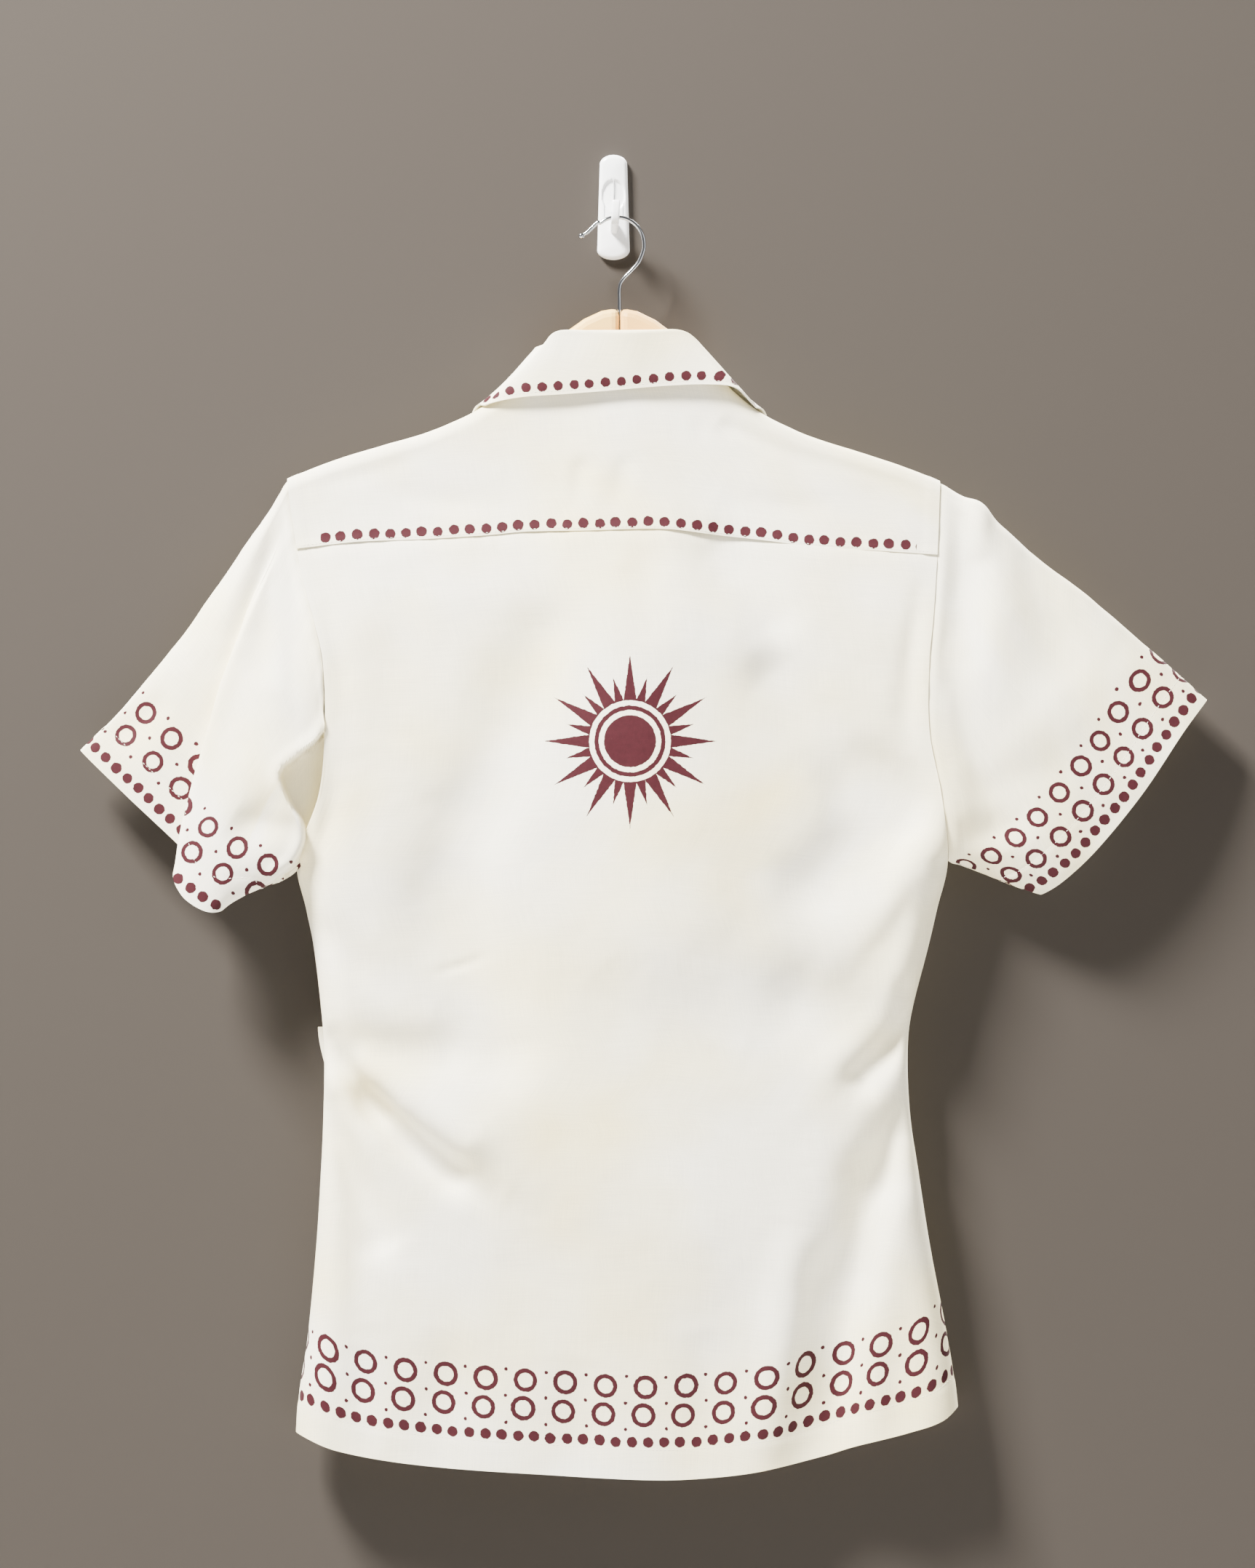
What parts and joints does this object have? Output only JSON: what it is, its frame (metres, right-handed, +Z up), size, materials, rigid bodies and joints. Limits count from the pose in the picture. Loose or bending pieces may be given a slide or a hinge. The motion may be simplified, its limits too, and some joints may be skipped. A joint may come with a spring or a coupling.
{
  "type": "sun shirt on a hanger and wall hook",
  "caption": "Short-sleeved camp-collar shirt of printed cotton, buttoned, hung back outwards on a wooden hanger with a wire hook on a white wall hook.",
  "frame": {"origin": "middle of the wall hook's flat back face, on the wall", "axes": "+Z up, +Y into the wall, +X to the right as the shirt's back is seen, towards the wearer's right"},
  "size_m": [0.7631, 0.0621, 0.8996],
  "materials": {
    "cotton": "plain-woven cream cotton with dark red block print",
    "button": "pearly",
    "hanger_wood": "clear satin varnish",
    "wire": "polished",
    "hook_plastic": "satin white"
  },
  "bodies": {
    "root": {"back": "cotton", "yoke": "cotton", "front_left": "cotton", "front_right": "cotton", "sleeve_left": "cotton", "sleeve_right": "cotton", "collar": "cotton", "pocket_left": "cotton", "button_1": "button", "button_2": "button", "button_3": "button", "button_4": "button", "button_5": "button", "button_6": "button", "hanger_left": "hanger_wood", "hanger_right": "hanger_wood", "hanger_wire": "wire", "wall_hook": "hook_plastic"}
  },
  "joints": []
}
